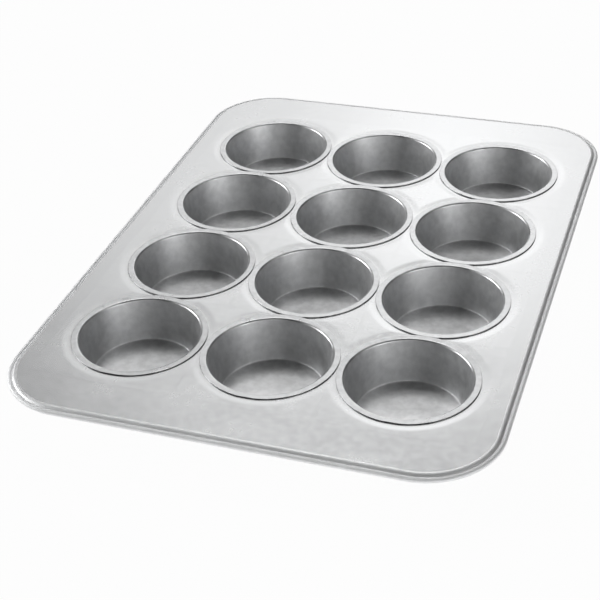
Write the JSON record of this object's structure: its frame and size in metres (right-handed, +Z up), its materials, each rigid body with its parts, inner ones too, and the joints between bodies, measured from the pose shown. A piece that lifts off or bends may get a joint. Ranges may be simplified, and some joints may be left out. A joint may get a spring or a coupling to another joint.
{
  "type": "jumbo muffin pan",
  "caption": "Wide sheet-metal muffin pan: rows of separately drawn, tapered cups locked into a flat frame with rounded corners and a wire-rolled edge.",
  "frame": {"origin": "under the middle of the pan, on the plane of the cups' floors that it stands on", "axes": "+X across the pan, +Y along it towards the first row of cups, +Z up out of the cups"},
  "size_m": [0.3274, 0.4548, 0.0305],
  "materials": {
    "frame_metal": "satin aluminised steel sheet",
    "cup_metal": "satin aluminised steel sheet, drawn",
    "wire_metal": "plain drawn steel wire"
  },
  "bodies": {
    "root": {"frame_sheet": "frame_metal", "rim_wire": "wire_metal", "cup_row1_col1": "cup_metal", "cup_row1_col2": "cup_metal", "cup_row1_col3": "cup_metal", "cup_row2_col1": "cup_metal", "cup_row2_col2": "cup_metal", "cup_row2_col3": "cup_metal", "cup_row3_col1": "cup_metal", "cup_row3_col2": "cup_metal", "cup_row3_col3": "cup_metal", "cup_row4_col1": "cup_metal", "cup_row4_col2": "cup_metal", "cup_row4_col3": "cup_metal"}
  },
  "joints": []
}
